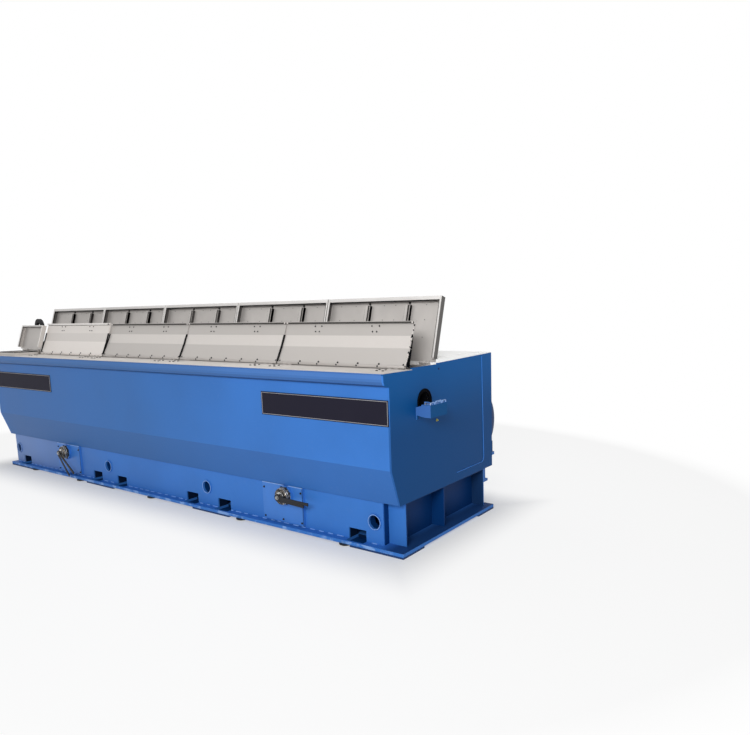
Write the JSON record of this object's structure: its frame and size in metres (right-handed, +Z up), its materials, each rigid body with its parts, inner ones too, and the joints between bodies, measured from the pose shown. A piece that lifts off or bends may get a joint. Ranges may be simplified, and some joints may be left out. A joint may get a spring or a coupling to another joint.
{
  "type": "wire drawing machine",
  "caption": "Long wet wire drawing machine: blue folded-plate body on a base frame, hinged stainless splash guards and covers over a row of drawing capstans, with drain valves and drive motor.",
  "frame": {"origin": "on the floor, under the middle of the whole outline", "axes": "+X along the wire towards the outlet end, +Y from the front face to the drive motor, +Z up"},
  "size_m": [5.979, 2.232, 1.8475],
  "materials": {
    "blue_paint": "satin",
    "dark_blue_paint": "satin",
    "stainless_sheet": "satin",
    "polished_steel": "polished",
    "machined_steel": "satin",
    "black_parts": "satin",
    "black_rubber": "matte",
    "sign_plate": "satin"
  },
  "bodies": {
    "machine": {"base_plate": "blue_paint", "sole_plates": "dark_blue_paint", "levelling_screws": "black_parts", "base_front_wall": "blue_paint", "base_rear_wall": "blue_paint", "base_outlet_end": "dark_blue_paint", "base_inlet_end": "dark_blue_paint", "front_shell": "blue_paint", "outlet_end_plate": "blue_paint", "inlet_end_plate": "blue_paint", "rear_shell": "blue_paint", "rear_doors": "blue_paint", "belly_plate": "blue_paint", "tank_floor": "stainless_sheet", "housing_wall": "stainless_sheet", "gear_deck": "stainless_sheet", "apron": "stainless_sheet", "hinge_rail": "stainless_sheet", "capstans": "polished_steel", "capstan_shafts": "machined_steel", "die_holders": "machined_steel", "spray_pipe": "polished_steel", "drain_valve_left": "machined_steel", "drain_valve_right": "machined_steel", "outlet_ring": "black_rubber", "outlet_bracket": "blue_paint", "inlet_ring": "machined_steel", "sign_left": "sign_plate", "sign_right": "sign_plate", "motor": "dark_blue_paint", "motor_stand": "blue_paint", "belt_guard": "blue_paint"},
    "guard_1": {"guard_1": "stainless_sheet"},
    "guard_2": {"guard_2": "stainless_sheet"},
    "guard_3": {"guard_3": "stainless_sheet"},
    "guard_4": {"guard_4": "stainless_sheet"},
    "inlet_pan": {"inlet_pan": "stainless_sheet"},
    "cover_1": {"cover_1": "stainless_sheet"},
    "cover_2": {"cover_2": "stainless_sheet"},
    "cover_3": {"cover_3": "stainless_sheet"},
    "cover_4": {"cover_4": "stainless_sheet"},
    "cover_5": {"cover_5": "stainless_sheet"},
    "valve_lever_left": {"valve_lever_left": "black_parts"},
    "valve_lever_right": {"valve_lever_right": "black_parts"}
  },
  "joints": [
    {"name": "guard_1_hinge", "type": "hinge", "parent": "machine", "child": "guard_1", "pos_m": [-1.743, -0.807, 1.336], "axis": [1, 0, 0], "range_deg": [0, 86]},
    {"name": "guard_2_hinge", "type": "hinge", "parent": "machine", "child": "guard_2", "pos_m": [-0.438, -0.807, 1.336], "axis": [1, 0, 0], "range_deg": [0, 90]},
    {"name": "guard_3_hinge", "type": "hinge", "parent": "machine", "child": "guard_3", "pos_m": [0.867, -0.807, 1.336], "axis": [1, 0, 0], "range_deg": [0, 90]},
    {"name": "guard_4_hinge", "type": "hinge", "parent": "machine", "child": "guard_4", "pos_m": [2.172, -0.807, 1.336], "axis": [1, 0, 0], "range_deg": [0, 90]},
    {"name": "inlet_pan_hinge", "type": "hinge", "parent": "machine", "child": "inlet_pan", "pos_m": [-2.6445, -0.807, 1.37], "axis": [1, 0, 0], "range_deg": [0, 107]},
    {"name": "cover_1_hinge", "type": "hinge", "parent": "machine", "child": "cover_1", "pos_m": [-2.3905, -0.443, 1.34], "axis": [1, 0, 0], "range_deg": [0, 40]},
    {"name": "cover_2_hinge", "type": "hinge", "parent": "machine", "child": "cover_2", "pos_m": [-1.2275, -0.443, 1.34], "axis": [1, 0, 0], "range_deg": [0, 40]},
    {"name": "cover_3_hinge", "type": "hinge", "parent": "machine", "child": "cover_3", "pos_m": [-0.0645, -0.443, 1.34], "axis": [1, 0, 0], "range_deg": [0, 40]},
    {"name": "cover_4_hinge", "type": "hinge", "parent": "machine", "child": "cover_4", "pos_m": [1.0985, -0.443, 1.34], "axis": [1, 0, 0], "range_deg": [0, 40]},
    {"name": "cover_5_hinge", "type": "hinge", "parent": "machine", "child": "cover_5", "pos_m": [2.2615, -0.443, 1.34], "axis": [1, 0, 0], "range_deg": [0, 40]},
    {"name": "valve_lever_left_turn", "type": "hinge", "parent": "machine", "child": "valve_lever_left", "pos_m": [-1.6945, -1.06, 0.282], "axis": [0, 1, 0], "range_deg": [-90, 0]},
    {"name": "valve_lever_right_turn", "type": "hinge", "parent": "machine", "child": "valve_lever_right", "pos_m": [1.7105, -1.06, 0.288], "axis": [0, 1, 0], "range_deg": [-40, 45]}
  ]
}
